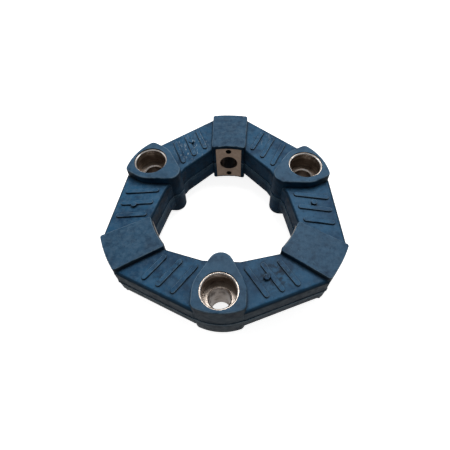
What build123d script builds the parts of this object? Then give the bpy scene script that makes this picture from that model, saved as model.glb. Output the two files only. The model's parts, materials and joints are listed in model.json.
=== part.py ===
"""Disc coupling: a rubber ring with three axial and three radial screw nodes, 120 degrees apart.

+Z runs along the coupling's axis. The origin is the centre of the axial bolt circle on the
lower clamping face, and a radial node points along +Y. All sizes are in millimetres.
"""
from build123d import *
from math import radians, tan
import os

# ---------------------------------------------------------------- whole coupling
NODE_COUNT = 3                 # nodes of each kind
BOLT_CIRCLE_D = 100.0          # pitch circle of the axial screws
BOSS_HEIGHT = 32.0             # axial nodes, over both clamping faces
BLOCK_HEIGHT = 27.6            # radial nodes, over both raised pads
LEG_HEIGHT = 21.6              # rubber legs between the nodes
DRAFT = 1.0                    # draft of every moulded wall, either side of the parting plane

# ---------------------------------------------------------------- axial bosses, at the parting plane
BOSS_R = 12.8                  # round of the boss about the screw
BOSS_REACH = 61.0              # outer face, from the axis
BOSS_FACE_R = 30.0             # curvature of that outer face
BOSS_CORNER_R = 3.4            # round between the outer face and the flanks
NOSE_R = 6.3                   # round of the nose that points at the axis
NOSE_REACH = 30.5              # tip of the nose, from the axis
BOSS_EDGE_R = 0.9              # rounded rim of both clamping faces

# ---------------------------------------------------------------- radial blocks, at the parting plane
BLOCK_REACH = 66.0             # outer face, an arc about the axis
HUB_SEAT_R = 39.0              # inner face, an arc about the axis
BLOCK_INNER_W = 19.7
BLOCK_OUTER_W = 21.8
BLOCK_CORNER_R = 1.5           # upright corners
BLOCK_EDGE_R = 0.6             # rounded rim of both raised pads

# ---------------------------------------------------------------- legs, at the parting plane
LEG_OUTER_REACH = 59.1         # outer wall, from the axis, halfway along the leg
LEG_INNER_REACH = 35.3         # inner wall, likewise
LEG_OUTER_SKEW = 6.7           # degrees that the outer wall leans out towards the radial node
LEG_INNER_SKEW = 15.0          # the same for the inner wall
LEG_OUTER_EDGE_R = 1.8         # rounded long edges of the outer wall
LEG_INNER_EDGE_R = 1.2         # and of the inner wall
OUTER_BURY = 0.5               # how far a leg's outer wall runs into the nodes at its ends
BOSS_BURY = 3.6                # how far its inner wall runs into the boss
BLOCK_BURY = 1.2               # and into the block

# ---------------------------------------------------------------- moulded detail
RIBS_PER_LEG = 3
RIB_PITCH = 7.85
RIB_SHIFT = 0.9                # middle rib, from halfway along the leg towards the radial node
RIB_TILT = -6.2                # degrees
RIB_W = 2.5
RIB_HEIGHT = 1.0
RIB_MARGIN = 3.05              # from a rib's end to the leg's wall
RIB_EDGE_R = 0.45
PIP_D = 3.0                    # stubs left where the mould was filled
PIP_HEIGHT = 1.7
PIP_EDGE_R = 0.3
BEAD_W = 0.3                   # bead along the parting plane
BEAD_HEIGHT = 0.7
# pips stand by the middle rib of four legs: leg's angle, distance from the axis, sideways
PIPS = (
    (0.0, 47.0, 2.4),
    (120.0, 49.6, -2.6),
    (180.0, 48.7, 2.5),
    (300.0, 46.4, -1.7),
)

# ---------------------------------------------------------------- screws, axial and radial
SCREW_HOLE_D = 10.6            # clearance for M10
HEAD_BORE_D = 16.6             # counterbore for its socket head
HEAD_DEPTH = 10.8              # from the clamping face to the screw's seat
HEAD_ACCESS_D = 18.0           # way in for a radial screw's head, through the outer rubber

# ---------------------------------------------------------------- axial inserts
SLEEVE_OD = 21.0
SLEEVE_RECESS = 0.7            # upper rim, below the clamping face
LIP_HOLE_D = 18.1              # rubber opening over that rim
LIP_EDGE_R = 0.3               # rounded rim of that opening
RIM_CHAMFER = 0.4
SEAT_CHAMFER = 0.6

# ---------------------------------------------------------------- radial inserts
INSERT_W = 15.0
INSERT_HEIGHT = 24.0
INSERT_REACH = 55.0            # screw seat, from the axis
INSERT_PROUD = 0.3             # how far the metal stands out of the rubber towards the hub
INSERT_CORNER_R = 1.0
PIN_HOLE_D = 3.4               # the pair that held the insert in the mould
PIN_HOLE_SPAN = 19.2
PIN_HOLE_DEPTH = 6.0

# ---------------------------------------------------------------- worked out
BOLT_R = BOLT_CIRCLE_D / 2
HUB_FACE_R = HUB_SEAT_R - INSERT_PROUD
MID_Z = BOSS_HEIGHT / 2
HALF_PITCH = 90.0 / NODE_COUNT           # between the middle of a leg and the node at its end
AXIAL_START = 90.0 - 2 * HALF_PITCH      # first boss, with a radial block on +Y
RADIAL_START = 90.0
SLOPE_OUT = tan(radians(LEG_OUTER_SKEW))
SLOPE_IN = tan(radians(LEG_INNER_SKEW))
LEG_SHRINK = LEG_HEIGHT / 2 * tan(radians(DRAFT))
PARTING = Plane.XY.offset(MID_Z)
LEG_FACE = Plane.XY.offset(MID_Z + LEG_HEIGHT / 2)


def wall_point(reach, slope, angle, inset):
    """Where a leg's wall meets a line that runs beside a node's ray, inset nearer to the leg.

    In the leg's own frame the wall is x = reach - slope * y, and the ray leaves the axis at angle.
    """
    ray = Vector(1, 0).rotate(Axis.Z, angle)
    start = Vector(0, -inset if angle > 0 else inset).rotate(Axis.Z, angle)
    along = (reach - start.X - slope * start.Y) / (ray.X + slope * ray.Y)
    return start + ray * along


def all_round(points):
    """Carry points of one leg, given from its block end to its boss end, about the whole ring."""
    mirrored = [Vector(point.X, -point.Y) for point in reversed(points)]
    outline = []
    for node in range(NODE_COUNT):
        after_boss = AXIAL_START + HALF_PITCH + node * 4 * HALF_PITCH
        outline += [point.rotate(Axis.Z, after_boss) for point in mirrored]
        outline += [point.rotate(Axis.Z, after_boss + 2 * HALF_PITCH) for point in points]
    return outline


def end_faces(solid):
    """The lowest and the highest face."""
    by_height = solid.faces().sort_by(Axis.Z)
    return [by_height[0], by_height[-1]]


def rims(solid):
    """Every edge of the lowest and the highest face."""
    return [edge for face in end_faces(solid) for edge in face.edges()]


# ================================================================ rubber: ring of legs
with BuildPart() as ring:
    outer_wall = [
        wall_point(LEG_OUTER_REACH, SLOPE_OUT, -HALF_PITCH, BLOCK_OUTER_W / 2 - OUTER_BURY),
        wall_point(LEG_OUTER_REACH, SLOPE_OUT, HALF_PITCH, BOSS_R - OUTER_BURY),
    ]
    block_corner = wall_point(LEG_INNER_REACH, SLOPE_IN, -HALF_PITCH, BLOCK_INNER_W / 2 - BLOCK_BURY)
    inner_wall = [
        block_corner + Vector(0, -BLOCK_INNER_W / 4).rotate(Axis.Z, -HALF_PITCH),
        block_corner,
        wall_point(LEG_INNER_REACH, SLOPE_IN, HALF_PITCH, BOSS_R - BOSS_BURY),
    ]
    with BuildSketch(PARTING) as ring_outline:
        with BuildLine():
            Polyline(*all_round(outer_wall), close=True)
        make_face()
        with BuildLine():
            Polyline(*all_round(inner_wall), close=True)
        make_face(mode=Mode.SUBTRACT)
    extrude(amount=LEG_HEIGHT / 2, both=True, taper=DRAFT)
    fillet([edge for face in end_faces(ring) for edge in face.outer_wire().edges()], LEG_OUTER_EDGE_R)
    fillet([edge for face in end_faces(ring) for edge in face.inner_wires()[0].edges()], LEG_INNER_EDGE_R)
    with BuildSketch(PARTING):
        add(ring_outline.sketch)
        offset(amount=BEAD_W, kind=Kind.INTERSECTION)
    extrude(amount=BEAD_HEIGHT / 2, both=True)

# ================================================================ rubber: ribs and pips on the legs
with BuildPart() as ribs:
    for leg in range(2 * NODE_COUNT):
        side = 1 if leg % 2 else -1          # boss on the clockwise side, then on the other
        leg_angle = AXIAL_START + HALF_PITCH + leg * 2 * HALF_PITCH
        with BuildSketch(LEG_FACE.rotated((0, 0, leg_angle))):
            for rib in range(RIBS_PER_LEG):
                along = (rib - (RIBS_PER_LEG - 1) / 2) * RIB_PITCH - RIB_SHIFT
                outer_x = LEG_OUTER_REACH - SLOPE_OUT * along - LEG_SHRINK - RIB_MARGIN
                inner_x = LEG_INNER_REACH - SLOPE_IN * along + LEG_SHRINK + RIB_MARGIN
                with Locations(((outer_x + inner_x) / 2, side * along)):
                    SlotOverall(outer_x - inner_x, RIB_W, rotation=side * RIB_TILT)
        extrude(amount=RIB_HEIGHT)
    fillet(ribs.faces().group_by(Axis.Z)[-1].edges(), RIB_EDGE_R)
    mirror(about=PARTING)

with BuildPart() as pips:
    for leg_angle, pip_x, pip_y in PIPS:
        with BuildSketch(LEG_FACE.rotated((0, 0, leg_angle))):
            with Locations((pip_x, pip_y)):
                Circle(PIP_D / 2)
    extrude(amount=PIP_HEIGHT)
    fillet(pips.faces().group_by(Axis.Z)[-1].edges(), PIP_EDGE_R)

# ================================================================ rubber: one axial boss
with BuildPart() as boss:
    with BuildSketch(PARTING) as boss_outline:
        with Locations((BOLT_R, 0)):
            Circle(BOSS_R)
        with Locations((NOSE_REACH + NOSE_R, 0)):
            Circle(NOSE_R)
        make_hull()
        with Locations((BOLT_R, 0)):
            Rectangle(2 * BOSS_R, 2 * BOSS_R, align=(Align.MIN, Align.CENTER))
        with Locations((BOSS_REACH - BOSS_FACE_R, 0)):
            Circle(BOSS_FACE_R, mode=Mode.INTERSECT)
        fillet(boss_outline.vertices().group_by(Axis.X)[-1], BOSS_CORNER_R)
    extrude(amount=BOSS_HEIGHT / 2, both=True, taper=DRAFT)
    fillet(rims(boss), BOSS_EDGE_R)
    with BuildSketch(PARTING):
        add(boss_outline.sketch)
        offset(amount=BEAD_W)
    extrude(amount=BEAD_HEIGHT / 2, both=True)

# ================================================================ rubber: one radial block
with BuildPart() as block:
    with BuildSketch(PARTING) as block_outline:
        with BuildLine():
            Polyline(
                (HUB_SEAT_R - BLOCK_INNER_W / 4, -BLOCK_INNER_W / 2),
                (BLOCK_REACH, -BLOCK_OUTER_W / 2),
                (BLOCK_REACH, BLOCK_OUTER_W / 2),
                (HUB_SEAT_R - BLOCK_INNER_W / 4, BLOCK_INNER_W / 2),
                close=True,
            )
        make_face()
        Circle(BLOCK_REACH, mode=Mode.INTERSECT)
        Circle(HUB_SEAT_R, mode=Mode.SUBTRACT)
        fillet(block_outline.vertices(), BLOCK_CORNER_R)
    extrude(amount=BLOCK_HEIGHT / 2, both=True, taper=DRAFT)
    fillet(rims(block), BLOCK_EDGE_R)
    with BuildSketch(PARTING):
        add(block_outline.sketch)
        offset(amount=BEAD_W)
    extrude(amount=BEAD_HEIGHT / 2, both=True)

# ================================================================ metal: one axial insert
with BuildPart() as sleeve_blank:
    with Locations((BOLT_R, 0, 0)):
        Cylinder(SLEEVE_OD / 2, BOSS_HEIGHT - SLEEVE_RECESS, align=(Align.CENTER, Align.CENTER, Align.MIN))

with BuildPart() as sleeve:
    add(sleeve_blank.part)
    with Locations((BOLT_R, 0, BOSS_HEIGHT - SLEEVE_RECESS)):
        CounterBoreHole(SCREW_HOLE_D / 2, HEAD_BORE_D / 2, HEAD_DEPTH - SLEEVE_RECESS)
    bore_rings = sleeve.edges().filter_by(GeomType.CIRCLE).group_by(SortBy.RADIUS)
    chamfer(bore_rings[0].sort_by(Axis.Z)[-1], SEAT_CHAMFER)
    chamfer(bore_rings[1].sort_by(Axis.Z)[-1], RIM_CHAMFER)

# ================================================================ metal: one radial insert
with BuildPart() as insert_blank:
    with BuildSketch(PARTING) as insert_outline:
        with Locations((INSERT_REACH, 0)):
            Rectangle(INSERT_REACH - HUB_FACE_R + INSERT_W / 2, INSERT_W, align=(Align.MAX, Align.CENTER))
        Circle(HUB_FACE_R, mode=Mode.SUBTRACT)
        fillet(insert_outline.vertices().group_by(Axis.X)[-1], INSERT_CORNER_R)
    extrude(amount=INSERT_HEIGHT / 2, both=True)

with BuildPart() as insert:
    add(insert_blank.part)
    with Locations(Plane((INSERT_REACH, 0, MID_Z), z_dir=(1, 0, 0))):
        Hole(SCREW_HOLE_D / 2)
    for pin_z in (MID_Z - PIN_HOLE_SPAN / 2, MID_Z + PIN_HOLE_SPAN / 2):
        with Locations(Plane((HUB_FACE_R, 0, pin_z), z_dir=(-1, 0, 0))):
            Hole(PIN_HOLE_D / 2, depth=PIN_HOLE_DEPTH)

# ================================================================ rubber: the whole element
with BuildPart() as rubber_element:
    add(ring.part)
    with PolarLocations(0, NODE_COUNT, start_angle=AXIAL_START):
        add(boss.part)
    with PolarLocations(0, NODE_COUNT, start_angle=RADIAL_START):
        add(block.part)
    add(ribs.part)
    add(pips.part)
    with PolarLocations(0, NODE_COUNT, start_angle=AXIAL_START):
        add(sleeve_blank.part, mode=Mode.SUBTRACT)
    with PolarLocations(BOLT_R, NODE_COUNT, start_angle=AXIAL_START):
        with Locations((0, 0, MID_Z)):
            Cylinder(LIP_HOLE_D / 2, BOSS_HEIGHT, align=(Align.CENTER, Align.CENTER, Align.MIN), mode=Mode.SUBTRACT)
    top_edges = rubber_element.edges().filter_by_position(Axis.Z, BOSS_HEIGHT, BOSS_HEIGHT)
    fillet(top_edges.filter_by(lambda edge: edge.is_closed), LIP_EDGE_R)
    with PolarLocations(0, NODE_COUNT, start_angle=RADIAL_START):
        add(insert_blank.part, mode=Mode.SUBTRACT)
        with Locations(Plane((INSERT_REACH, 0, MID_Z), z_dir=(1, 0, 0))):
            Cylinder(
                HEAD_ACCESS_D / 2,
                BLOCK_REACH,
                align=(Align.CENTER, Align.CENTER, Align.MIN),
                mode=Mode.SUBTRACT,
            )

# ================================================================ files, one per piece
os.makedirs("parts", exist_ok=True)
rubber_element.part.label = "rubber_element"
export_step(rubber_element.part, "parts/rubber_element.step")
for number in range(1, NODE_COUNT + 1):
    turn = (number - 1) * 4 * HALF_PITCH
    with BuildPart() as axial_insert:
        with PolarLocations(0, 1, start_angle=AXIAL_START + turn):
            add(sleeve.part)
    axial_insert.part.label = f"axial_insert_{number}"
    export_step(axial_insert.part, f"parts/{axial_insert.part.label}.step")
    with BuildPart() as radial_insert:
        with PolarLocations(0, 1, start_angle=RADIAL_START + turn):
            add(insert.part)
    radial_insert.part.label = f"radial_insert_{number}"
    export_step(radial_insert.part, f"parts/{radial_insert.part.label}.step")
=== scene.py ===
"""Looks of the disc coupling: moulded blue-grey rubber, turned metal inserts and torn mould flash."""

import json
import math
import random

import bmesh
import bpy
from mathutils import Matrix, Quaternion, Vector


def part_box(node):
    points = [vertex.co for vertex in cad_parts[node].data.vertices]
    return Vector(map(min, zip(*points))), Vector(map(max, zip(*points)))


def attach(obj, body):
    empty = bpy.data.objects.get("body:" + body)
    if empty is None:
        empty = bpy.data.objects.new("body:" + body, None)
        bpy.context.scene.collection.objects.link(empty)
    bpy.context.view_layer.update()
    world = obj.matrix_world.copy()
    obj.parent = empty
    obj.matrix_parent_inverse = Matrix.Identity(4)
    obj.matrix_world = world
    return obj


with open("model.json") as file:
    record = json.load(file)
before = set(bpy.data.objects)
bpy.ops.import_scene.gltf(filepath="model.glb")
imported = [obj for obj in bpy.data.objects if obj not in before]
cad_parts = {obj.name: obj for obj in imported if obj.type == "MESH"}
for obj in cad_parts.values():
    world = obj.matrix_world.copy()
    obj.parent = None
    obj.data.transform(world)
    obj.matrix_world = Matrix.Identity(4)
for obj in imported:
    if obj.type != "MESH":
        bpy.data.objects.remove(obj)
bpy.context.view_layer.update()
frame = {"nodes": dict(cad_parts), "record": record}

MM = 0.001
WHITE = (1.0, 1.0, 1.0, 1.0)

# ---------------------------------------------------------------- places taken from the frame
NODE_TURN = math.radians(120.0)
FIRST_RADIAL = math.radians(90.0)
LOW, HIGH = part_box("rubber_element")
MID_Z = (LOW.z + HIGH.z) / 2
MOUNTS = {mount["name"]: mount for mount in frame["record"]["mounts"]}
BOLT_DIMS = MOUNTS["axial_bolts"]["dims"]
SCREW_HOLE_R = BOLT_DIMS["hole_r_mm"] * MM
BLOCK_REACH = HIGH.y                    # outer face of the radial node that points along +Y


def centre_of(node):
    """Middle of a CAD node's box."""
    low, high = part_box(node)
    return (low + high) / 2


AXIAL_CENTRES = [centre_of(f"axial_insert_{n}") for n in (1, 2, 3)]


# ---------------------------------------------------------------- shader helpers
class Shader:
    """A material's node tree with short calls for the nodes used here."""

    def __init__(self, name):
        self.material = bpy.data.materials.new(name)
        self.material.use_nodes = True
        self.tree = self.material.node_tree
        self.surface = self.tree.nodes["Principled BSDF"]
        self.position = self.node("ShaderNodeTexCoord").outputs["Object"]
        self.normal = self.node("ShaderNodeNewGeometry").outputs["Normal"]

    def node(self, kind, **settings):
        made = self.tree.nodes.new(kind)
        for key, value in settings.items():
            setattr(made, key, value)
        return made

    def feed(self, socket, value):
        """Link an output to a socket, or set a constant on it."""
        if isinstance(value, bpy.types.NodeSocket):
            self.tree.links.new(value, socket)
        else:
            socket.default_value = value

    def math(self, operation, first, second=0.0):
        made = self.node("ShaderNodeMath", operation=operation)
        self.feed(made.inputs[0], first)
        self.feed(made.inputs[1], second)
        return made.outputs[0]

    def vector(self, operation, first, second=(0.0, 0.0, 0.0)):
        made = self.node("ShaderNodeVectorMath", operation=operation)
        self.feed(made.inputs[0], first)
        self.feed(made.inputs[1], second)
        return made.outputs["Value" if operation in ("LENGTH", "DOT_PRODUCT") else "Vector"]

    def split(self, vector):
        made = self.node("ShaderNodeSeparateXYZ")
        self.feed(made.inputs[0], vector)
        return made.outputs

    def join(self, x, y, z):
        made = self.node("ShaderNodeCombineXYZ")
        for socket, value in zip(made.inputs, (x, y, z)):
            self.feed(socket, value)
        return made.outputs[0]

    def ramp(self, value, low, high):
        """0 at low and below, 1 at high and above, smooth between."""
        made = self.node("ShaderNodeMapRange", interpolation_type="SMOOTHSTEP")
        self.feed(made.inputs["Value"], value)
        made.inputs["From Min"].default_value = low
        made.inputs["From Max"].default_value = high
        return made.outputs["Result"]

    def noise(self, vector, size, detail=3.0, roughness=0.55):
        """Noise whose features are about size metres across."""
        made = self.node("ShaderNodeTexNoise")
        self.feed(made.inputs["Vector"], vector)
        made.inputs["Scale"].default_value = 1.0 / size
        made.inputs["Detail"].default_value = detail
        made.inputs["Roughness"].default_value = roughness
        return made.outputs["Fac"]

    def mix(self, share, first, second):
        made = self.node("ShaderNodeMix", data_type="RGBA")
        self.feed(made.inputs["Factor"], share)
        self.feed(made.inputs["A"], first)
        self.feed(made.inputs["B"], second)
        return made.outputs["Result"]

    def bump(self, height, distance, strength=1.0, after=None):
        made = self.node("ShaderNodeBump")
        self.feed(made.inputs["Height"], height)
        made.inputs["Distance"].default_value = distance
        made.inputs["Strength"].default_value = strength
        if after is not None:
            self.feed(made.inputs["Normal"], after)
        return made.outputs["Normal"]

    def edges(self, radius):
        """1 on a sharp edge and 0 away from it."""
        bevel = self.node("ShaderNodeBevel", samples=6)
        bevel.inputs["Radius"].default_value = radius
        straight = self.vector("DOT_PRODUCT", bevel.outputs["Normal"], self.normal)
        return self.ramp(straight, 0.995, 0.86)


# ---------------------------------------------------------------- rubber
TOP_BLUE = (0.019, 0.084, 0.166, 1.0)
DEEP_BLUE = (0.008, 0.042, 0.094, 1.0)
ROUND_SHADE_NAVY = (0.006, 0.022, 0.042, 1.0)
PAD_GREY_BLUE = (0.038, 0.084, 0.138, 1.0)
PAD_DARK = (0.006, 0.020, 0.044, 1.0)
WALL_GREY = (0.016, 0.029, 0.041, 1.0)
WALL_DARK = (0.005, 0.012, 0.021, 1.0)
HUB_WALL_SHADE_BLUE = (0.006, 0.030, 0.062, 1.0)
HUB_WALL_SHADE_DARK = (0.003, 0.012, 0.026, 1.0)
BOUNCE_LIGHT_TEAL = (0.040, 0.080, 0.112, 1.0)
SCUFF_AND_HIGHLIGHT = (0.130, 0.200, 0.270, 1.0)
SCRATCH = (0.300, 0.360, 0.400, 1.0)
SOIL_AND_SHADE = (0.003, 0.006, 0.012, 1.0)
LIP_R = 9.4 * MM                        # rubber this near a screw's axis is the bore's lip
LEG_TOP = MID_Z + 10.8 * MM             # legs end here, and their ribs stand above
ABOVE_LEGS = MID_Z + 11.1 * MM
BELOW_PADS = (MID_Z + 13.0 * MM, MID_Z + 13.5 * MM)
ABOVE_PADS = (MID_Z + 15.0 * MM, MID_Z + 14.5 * MM)
HUB_SIDE_R = 49 * MM                    # walls nearer to the axis than this are the hub side's, given darker blues as painted shade
RIM_SIDE_R = 55 * MM                    # and walls further out than this are the outer side's
BEAD_EDGE = (0.50 * MM, 0.30 * MM)      # half height of the parting bead, outside and inside it
STRIP_TOP = (-0.2 * MM, -0.8 * MM)      # the strip of painted bounce light, from the parting plane
STRIP_FOOT = (-4.5 * MM, -2.5 * MM)
CREASE_REACH = 2.2 * MM
PLACE_FADE = 5.0                        # mm over which a marked place fades out
# scratched and blotched places: angle about the axis, distance from it, radius
SCRATCHED = ((119.0, 46.0, 11.0), (66.0, 53.0, 4.0))
BLOTCHED = ((303.0, 47.0, 9.0), (237.0, 52.0, 4.0), (240.0, 40.0, 4.0))


def near_places(s, places):
    """1 in the middle of any of the places and 0 outside them."""
    found = 0.0
    for angle, distance, radius in places:
        turn = math.radians(angle)
        middle = (math.cos(turn) * distance * MM, math.sin(turn) * distance * MM, HIGH.z)
        gap = s.vector("LENGTH", s.vector("SUBTRACT", s.position, middle))
        found = s.math("MAXIMUM", found, s.ramp(gap, (radius + PLACE_FADE) * MM, radius / 2 * MM))
    return found


def rubber(name):
    """Moulded rubber: blue where it faces up, greyer walls darkened with painted shade, scuffed and soiled
    as it was handled, with painted shade and painted highlights at creases, lips, edges, rims and the
    parting line.
    """
    s = Shader(name)
    x, y, z = s.split(s.position)
    up = s.split(s.normal)["Z"]

    cloud = s.ramp(s.noise(s.position, 17 * MM, 4.0), 0.36, 0.66)
    fine = s.ramp(s.noise(s.position, 2.6 * MM, 5.0, 0.65), 0.38, 0.68)
    top = s.mix(cloud, TOP_BLUE, DEEP_BLUE)
    raised = s.ramp(z, *BELOW_PADS)
    on_pad = s.math("MULTIPLY", raised, s.ramp(z, *ABOVE_PADS))
    mottle = s.ramp(s.noise(s.position, 2.3 * MM, 5.0, 0.7), 0.38, 0.70)
    worn = s.mix(s.math("MULTIPLY", s.math("MULTIPLY", mottle, on_pad), 0.70), PAD_GREY_BLUE, PAD_DARK)
    top = s.mix(s.math("MULTIPLY", raised, 0.62), top, worn)
    top = s.mix(s.math("MULTIPLY", fine, 0.20), top, SCUFF_AND_HIGHLIGHT)
    dull = s.ramp(s.noise(s.position, 4.2 * MM, 5.0, 0.7), 0.48, 0.70)
    top = s.mix(s.math("MULTIPLY", dull, 0.45), top, PAD_DARK)

    # walls have their own greyer tone, and are painted darker than the tops as shade
    worn_wall = s.ramp(s.noise(s.position, 9 * MM, 3.0), 0.35, 0.7)
    wall = s.mix(worn_wall, WALL_GREY, WALL_DARK)
    # painted shade: hub-side walls get darker blues than the outer walls
    from_axis = s.vector("LENGTH", s.join(x, y, 0.0))
    outside = s.ramp(from_axis, HUB_SIDE_R, RIM_SIDE_R)
    wall = s.mix(outside, s.mix(worn_wall, HUB_WALL_SHADE_BLUE, HUB_WALL_SHADE_DARK), wall)
    # painted highlight on the parting bead, and painted bounce light from the floor on the strip of wall
    # under it
    level = s.math("SUBTRACT", z, MID_Z)
    on_bead = s.ramp(s.math("ABSOLUTE", level), *BEAD_EDGE)
    wall = s.mix(s.math("MULTIPLY", on_bead, 0.55), wall, BOUNCE_LIGHT_TEAL)
    in_strip = s.math("MULTIPLY", s.ramp(level, *STRIP_TOP), s.ramp(level, *STRIP_FOOT))
    in_strip = s.math("MULTIPLY", in_strip, s.ramp(s.noise(s.position, 5 * MM, 3.0), 0.36, 0.56))
    wall = s.mix(s.math("MULTIPLY", in_strip, 0.45), wall, BOUNCE_LIGHT_TEAL)
    faces_up = s.ramp(up, 0.45, 0.93)
    colour = s.mix(faces_up, wall, top)

    # small pale scuffs on what stands proud, and dirt that stays in pits
    specks = s.ramp(s.noise(s.position, 0.8 * MM, 2.0, 0.5), 0.66, 0.75)
    patches = s.ramp(s.noise(s.position, 11 * MM, 2.0), 0.50, 0.64)
    scuffed = s.math("MULTIPLY", s.math("MULTIPLY", specks, patches), faces_up)
    colour = s.mix(s.math("MULTIPLY", scuffed, 0.55), colour, SCUFF_AND_HIGHLIGHT)
    pits = s.ramp(s.noise(s.position, 1.1 * MM, 3.0, 0.6), 0.35, 0.27)
    soiled = s.math("MULTIPLY", pits, s.ramp(s.noise(s.position, 14 * MM, 2.0), 0.42, 0.6))
    colour = s.mix(s.math("MULTIPLY", soiled, 0.75), colour, SOIL_AND_SHADE)

    # short pale scratches across a few legs, and dark blotches
    turned = s.node("ShaderNodeMapping")
    s.feed(turned.inputs["Vector"], s.position)
    turned.inputs["Rotation"].default_value = (0.0, 0.0, math.radians(28.0))
    turned.inputs["Scale"].default_value = (1.0, 0.28, 1.0)
    lines = s.ramp(s.noise(turned.outputs["Vector"], 0.9 * MM, 3.0, 0.6), 0.57, 0.66)
    lines = s.math("MULTIPLY", lines, s.math("MULTIPLY", near_places(s, SCRATCHED), faces_up))
    colour = s.mix(s.math("MULTIPLY", lines, 0.62), colour, SCRATCH)
    blots = s.ramp(s.noise(s.position, 3 * MM, 4.0, 0.7), 0.46, 0.60)
    dark = s.math("MULTIPLY", near_places(s, BLOTCHED), blots)
    colour = s.mix(s.math("MULTIPLY", dark, 0.75), colour, SOIL_AND_SHADE)

    # painted shade darkens a leg's rounded edges, and every rim above the legs gets a pale painted
    # highlight mixed with wear from rubbing, unevenly
    on_round = s.math("MULTIPLY", s.ramp(up, 0.10, 0.55), s.ramp(up, 0.995, 0.90))
    above_legs = s.ramp(z, LEG_TOP, ABOVE_LEGS)
    leg_round_shade = s.math("MULTIPLY", on_round, s.math("SUBTRACT", 1.0, above_legs))
    colour = s.mix(s.math("MULTIPLY", leg_round_shade, 0.8), colour, ROUND_SHADE_NAVY)
    # pale painted highlight on the rims, mixed with wear from rubbing
    rim = s.math("MAXIMUM", s.edges(0.55 * MM), s.math("MULTIPLY", on_round, above_legs))
    rim_highlight_and_rub = s.math("MULTIPLY", rim, s.ramp(s.noise(s.position, 5 * MM, 3.0), 0.30, 0.58))
    colour = s.mix(s.math("MULTIPLY", rim_highlight_and_rub, 0.62), colour, SCUFF_AND_HIGHLIGHT)

    # the lip round each axial mouth is cut clean and painted dark as shade
    lip = None
    for centre in AXIAL_CENTRES:
        from_x, from_y = s.math("SUBTRACT", x, centre.x), s.math("SUBTRACT", y, centre.y)
        reach = s.vector("LENGTH", s.join(from_x, from_y, 0.0))
        near = s.math("LESS_THAN", reach, LIP_R)
        lip = near if lip is None else s.math("MAXIMUM", lip, near)
    upright = s.ramp(s.math("ABSOLUTE", up), 0.7, 0.3)
    colour = s.mix(s.math("MULTIPLY", lip, upright), colour, SOIL_AND_SHADE)

    # painted shade darkens every crease
    crease = s.node("ShaderNodeAmbientOcclusion", samples=8, only_local=True)
    crease.inputs["Distance"].default_value = CREASE_REACH
    shaded = s.ramp(crease.outputs["AO"], 0.88, 0.45)
    colour = s.mix(s.math("MULTIPLY", shaded, 0.85), colour, SOIL_AND_SHADE)

    grain = s.noise(s.position, 0.35 * MM, 2.0, 0.6)
    swell = s.noise(s.position, 6 * MM, 2.0)
    bumped = s.bump(grain, 0.035 * MM, 0.7)
    bumped = s.bump(swell, 0.30 * MM, 0.45, after=bumped)
    bumped = s.bump(pits, -0.10 * MM, 0.5, after=bumped)

    s.feed(s.surface.inputs["Base Color"], colour)
    roughness = s.math("ADD", s.math("MULTIPLY", fine, 0.14), 0.44)
    s.feed(s.surface.inputs["Roughness"], s.math("ADD", roughness, s.math("MULTIPLY", scuffed, 0.15)))
    s.feed(s.surface.inputs["Normal"], bumped)
    shine = s.math("ADD", s.math("MULTIPLY", faces_up, 0.08), 0.02)
    s.feed(s.surface.inputs["Specular IOR Level"], shine)
    return s.material


# ---------------------------------------------------------------- metal
METAL_PALE = (0.560, 0.485, 0.425, 1.0)
METAL_BROWN = (0.230, 0.170, 0.132, 1.0)
METAL_STAIN_AND_SHADE = (0.060, 0.046, 0.038, 1.0)
METAL_BRIGHT_HIGHLIGHT = (0.930, 0.905, 0.880, 1.0)
METAL_DULL_AND_SHADE = (0.105, 0.076, 0.058, 1.0)  # hub faces, and painted shade down in the screw ways
SCREW_WAY = (SCREW_HOLE_R + 0.6 * MM, SCREW_HOLE_R + 0.1 * MM)
HOLLOW_REACH = 9 * MM


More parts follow.
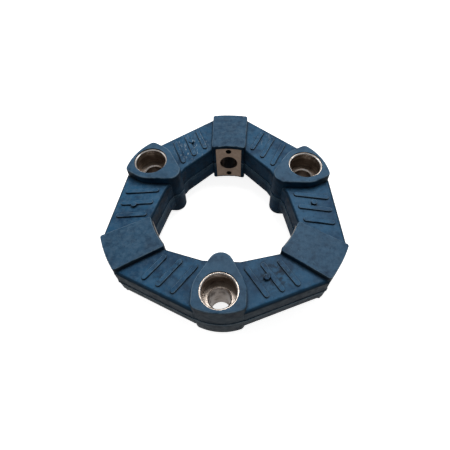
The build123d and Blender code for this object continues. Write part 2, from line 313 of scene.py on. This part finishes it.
def turned_metal(name, centre, axis, film=0.0):
    """Machined aluminium: rings about the axis, chamfers brightened past the machined finish as a painted
    highlight, brown stain, and painted shade in the screw ways and hollows.

    film is how much of the ends that face up or down a thin skin of rubber covers.
    """
    s = Shader(name)
    offset = s.vector("SUBTRACT", s.position, tuple(centre))
    along = s.vector("DOT_PRODUCT", offset, tuple(axis))
    inward = s.node("ShaderNodeVectorMath", operation="SCALE")
    s.feed(inward.inputs[0], tuple(axis))
    s.feed(inward.inputs["Scale"], along)
    around = s.vector("SUBTRACT", offset, inward.outputs["Vector"])
    radius = s.vector("LENGTH", around)
    rings = s.join(radius, along, 0.0)
    cuts = s.noise(rings, 0.22 * MM, 3.0, 0.7)
    bands = s.noise(rings, 2.4 * MM, 2.0)
    stain = s.ramp(s.noise(s.position, 4.5 * MM, 4.0, 0.62), 0.44, 0.68)
    specks = s.ramp(s.noise(s.position, 0.7 * MM, 3.0, 0.6), 0.60, 0.72)

    lean = s.math("ABSOLUTE", s.vector("DOT_PRODUCT", s.normal, tuple(axis)))
    in_bore = s.ramp(lean, 0.9, 0.5)
    banded = s.mix(s.math("MULTIPLY", s.ramp(bands, 0.32, 0.68), 0.8), METAL_PALE, METAL_BROWN)
    colour = s.mix(in_bore, METAL_DULL_AND_SHADE if film else METAL_PALE, banded)
    colour = s.mix(s.math("MULTIPLY", stain, 0.45), colour, METAL_BROWN)
    colour = s.mix(s.math("MULTIPLY", specks, 0.45), colour, METAL_STAIN_AND_SHADE)

    # a chamfer's face leans between the axis and the plane across it and gets a painted highlight; hollows
    # and the screw ways get painted shade
    chamfer = s.math("MULTIPLY", s.ramp(lean, 0.25, 0.45), s.ramp(lean, 0.95, 0.80))
    if not film:
        in_screw_way = s.math("MULTIPLY", s.ramp(radius, *SCREW_WAY), in_bore)
        colour = s.mix(s.math("MULTIPLY", in_screw_way, 0.85), colour, METAL_DULL_AND_SHADE)
    hollow = s.node("ShaderNodeAmbientOcclusion", samples=8, only_local=True)
    hollow.inputs["Distance"].default_value = HOLLOW_REACH
    hollow_shade = s.ramp(hollow.outputs["AO"], 0.75, 0.25)
    colour = s.mix(s.math("MULTIPLY", hollow_shade, 0.70), colour, METAL_STAIN_AND_SHADE)
    # painted highlight: chamfers take a near-white colour
    colour = s.mix(chamfer, colour, METAL_BRIGHT_HIGHLIGHT)

    covered = s.math("MULTIPLY", s.ramp(s.math("ABSOLUTE", s.split(s.normal)["Z"]), 0.6, 0.9), film)
    colour = s.mix(covered, colour, SOIL_AND_SHADE)

    s.feed(s.surface.inputs["Base Color"], colour)
    s.feed(s.surface.inputs["Metallic"], s.math("SUBTRACT", 1.0, covered))
    roughness = s.math("ADD", s.math("MULTIPLY", stain, 0.20), 0.34)
    s.feed(s.surface.inputs["Roughness"], s.math("SUBTRACT", roughness, s.math("MULTIPLY", chamfer, 0.08)))
    bumped = s.bump(s.math("MULTIPLY", cuts, in_bore), 0.03 * MM, 0.6)
    s.feed(s.surface.inputs["Normal"], s.bump(specks, -0.05 * MM, 0.5, after=bumped))
    return s.material


# ---------------------------------------------------------------- torn flash along the parting line
FLASH_THICKNESS = 0.16 * MM
FLASH_ROOT = 0.5 * MM                   # how deep the fin starts inside the rubber
FLASH_STEP = 0.5 * MM
BLOCK_HALF_W = 10.6 * MM
ACCESS_HALF_W = 9.3 * MM                # the outer face is open between its two cheeks
FLASH_SEED = 41
LEG_WALL_TURN = math.radians(36.7)      # from a block's ray to the way its legs' outer walls face
LEG_FIN_LENGTH = 11 * MM
LEG_FIN_SINK = 1.0 * MM                 # a leg's fin starts this far inside the block's outer face
BLOCK_FIN_SINK = 0.15 * MM
LEG_FIN_TALLEST = 1.9 * MM
BLOCK_FIN_TALLEST = 1.1 * MM


def torn_height(source, tallest, count):
    """Heights of a torn edge: a few slow swells, nicked between points."""
    swells = [(source.uniform(2.0, 7.0), source.uniform(0.0, math.tau)) for _ in range(3)]
    heights = []
    for number in range(count):
        share = number / (count - 1)
        swell = sum(math.sin(rate * share * math.pi + phase) for rate, phase in swells) / 3
        ends = min(1.0, 6 * share, 6 * (1 - share))
        nick = source.uniform(0.55, 1.0)
        heights.append(max(0.0, (0.45 + 0.55 * swell) * nick * ends) * tallest)
    return heights


def fin(mesh, path, outward, heights, z):
    """Adds a thin closed fin that stands out of path, point by point."""
    rows = []
    for point, out, height in zip(path, outward, heights):
        root = point - out * FLASH_ROOT
        tip = point + out * height
        lower = Vector((0, 0, z - FLASH_THICKNESS / 2))
        upper = Vector((0, 0, z + FLASH_THICKNESS / 2))
        corners = (root + lower, tip + lower, tip + upper, root + upper)
        rows.append([mesh.verts.new(corner) for corner in corners])
    for before, after in zip(rows, rows[1:]):
        for number in range(4):
            following = (number + 1) % 4
            mesh.faces.new((before[number], before[following], after[following], after[number]))
    mesh.faces.new(reversed(rows[0]))
    mesh.faces.new(rows[-1])


def arc_path(radius, start, end):
    """Points and outward directions on an arc about the coupling's axis."""
    count = max(3, int(abs(end - start) * radius / FLASH_STEP))
    angles = [start + (end - start) * number / (count - 1) for number in range(count)]
    outward = [Vector((math.cos(angle), math.sin(angle), 0)) for angle in angles]
    return [out * radius for out in outward], outward


def line_path(start, end, out):
    """Points on a straight run with one outward direction."""
    count = max(3, int((end - start).length / FLASH_STEP))
    return [start.lerp(end, number / (count - 1)) for number in range(count)], [out] * count


def flash(material):
    """Mould flash left on the outer side of the radial nodes and beside them on the legs."""
    mesh = bmesh.new()
    source = random.Random(FLASH_SEED)
    corner = math.asin(BLOCK_HALF_W / BLOCK_REACH)
    cheek = math.asin(ACCESS_HALF_W / BLOCK_REACH)
    for number in range(3):
        middle = FIRST_RADIAL + number * NODE_TURN
        for side in (-1, 1):
            edge_angle = middle + side * corner
            path, outward = arc_path(BLOCK_REACH - BLOCK_FIN_SINK, middle + side * cheek, edge_angle)
            fin(mesh, path, outward, torn_height(source, BLOCK_FIN_TALLEST, len(path)), MID_Z)
            out_angle = middle + side * LEG_WALL_TURN
            out = Vector((math.cos(out_angle), math.sin(out_angle), 0))
            edge = Vector((math.cos(edge_angle), math.sin(edge_angle), 0))
            start = edge * (BLOCK_REACH - LEG_FIN_SINK)
            run = Vector((-math.sin(out_angle), math.cos(out_angle), 0)) * side
            path, outward = line_path(start, start + run * LEG_FIN_LENGTH, out)
            fin(mesh, path, outward, torn_height(source, LEG_FIN_TALLEST, len(path)), MID_Z)
    data = bpy.data.meshes.new("parting_flash")
    bmesh.ops.recalc_face_normals(mesh, faces=mesh.faces)
    mesh.to_mesh(data)
    mesh.free()
    data.materials.append(material)
    made = bpy.data.objects.new("parting_flash", data)
    bpy.context.scene.collection.objects.link(made)
    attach(made, "root")


# ---------------------------------------------------------------- room: floor, lamps, camera
FLOOR_SIZE = 6.0
FLOOR_GAP = 0.02 * MM                   # keeps the floor clear of the lower faces
FLOOR_PALE = (0.70, 0.70, 0.70, 1.0)
FLOOR_GLOW = 0.86                       # with the lamps' share it reads as white, but for a faint shadow


def room():
    """Pale floor that reads as white to the camera and keeps a soft shadow."""
    bpy.ops.mesh.primitive_plane_add(size=FLOOR_SIZE, location=(0, 0, LOW.z - FLOOR_GAP))
    floor = bpy.context.object
    floor.name = "floor"
    s = Shader("floor_white")
    s.surface.inputs["Base Color"].default_value = FLOOR_PALE
    s.surface.inputs["Roughness"].default_value = 0.9
    light_path = s.node("ShaderNodeLightPath").outputs
    seen = s.math("MAXIMUM", light_path["Is Camera Ray"], light_path["Is Glossy Ray"])
    seen = s.math("MAXIMUM", seen, light_path["Is Transmission Ray"])
    glow = s.node("ShaderNodeEmission")
    glow.inputs["Color"].default_value = WHITE
    s.feed(glow.inputs["Strength"], s.math("MULTIPLY", seen, FLOOR_GLOW))
    both = s.node("ShaderNodeAddShader")
    s.feed(both.inputs[0], s.surface.outputs[0])
    s.feed(both.inputs[1], glow.outputs[0])
    s.feed(s.tree.nodes["Material Output"].inputs["Surface"], both.outputs[0])
    floor.data.materials.append(s.material)


def lamp(name, place, size, power):
    """A soft square lamp aimed at the middle of the coupling."""
    data = bpy.data.lights.new(name, "AREA")
    data.shape = "SQUARE"
    data.size = size
    data.energy = power
    made = bpy.data.objects.new(name, data)
    made.location = place
    aim = Vector((0, 0, MID_Z)) - Vector(place)
    made.rotation_euler = aim.to_track_quat("-Z", "Y").to_euler()
    bpy.context.scene.collection.objects.link(made)


def sky(strength):
    """Even studio light; what the camera sees of it is white."""
    world = bpy.data.worlds.new("studio")
    world.use_nodes = True
    tree = world.node_tree
    path = tree.nodes.new("ShaderNodeLightPath")
    level = tree.nodes.new("ShaderNodeMix")
    level.data_type = "FLOAT"
    level.inputs["A"].default_value = strength
    level.inputs["B"].default_value = 1.0
    tree.links.new(path.outputs["Is Camera Ray"], level.inputs["Factor"])
    tree.links.new(level.outputs["Result"], tree.nodes["Background"].inputs["Strength"])
    tree.nodes["Background"].inputs["Color"].default_value = WHITE
    bpy.context.scene.world = world


CAMERA_PLACE = Vector((9.2, -104.6, 178.5)) * MM
CAMERA_TARGET = Vector((0.05, -6.35, 16.0)) * MM
CAMERA_ROLL = math.radians(-2.65)
SENSOR_W = 36.0
LENS = 27.62


def camera():
    """High three-quarter view with a radial node at the back."""
    data = bpy.data.cameras.new("camera")
    data.sensor_width = SENSOR_W
    data.lens = LENS
    data.clip_start = 0.005
    made = bpy.data.objects.new("camera", data)
    aim = (CAMERA_TARGET - CAMERA_PLACE).to_track_quat("-Z", "Y")
    turn = aim @ Quaternion((0, 0, 1), CAMERA_ROLL)
    made.matrix_world = Matrix.Translation(CAMERA_PLACE) @ turn.to_matrix().to_4x4()
    bpy.context.scene.collection.objects.link(made)
    bpy.context.scene.camera = made


# ---------------------------------------------------------------- everything together
def dress(node, material):
    """Gives a CAD node its finish."""
    for slot in frame["nodes"][node].material_slots:
        slot.material = material


rubber_finish = rubber("moulded_rubber")
dress("rubber_element", rubber_finish)
for number, centre in enumerate(AXIAL_CENTRES, 1):
    dress(f"axial_insert_{number}", turned_metal(f"turned_sleeve_{number}", centre, Vector((0, 0, 1))))
for number in (1, 2, 3):
    mount = MOUNTS[f"radial_bore_{number}"]
    bore, axis = Vector(mount["pos_m"]), Vector(mount["axis"])
    dress(f"radial_insert_{number}", turned_metal(f"machined_block_{number}", bore, axis, film=1.0))
flash(rubber_finish)

room()
sky(0.24)
lamp("key_above_behind", (0.06, 0.30, 0.62), 0.34, 3.3)
lamp("side_left", (-0.60, 0.10, 0.40), 0.40, 0.8)
lamp("side_right", (0.60, 0.15, 0.40), 0.40, 0.6)
camera()
bpy.context.scene.view_settings.view_transform = "Standard"
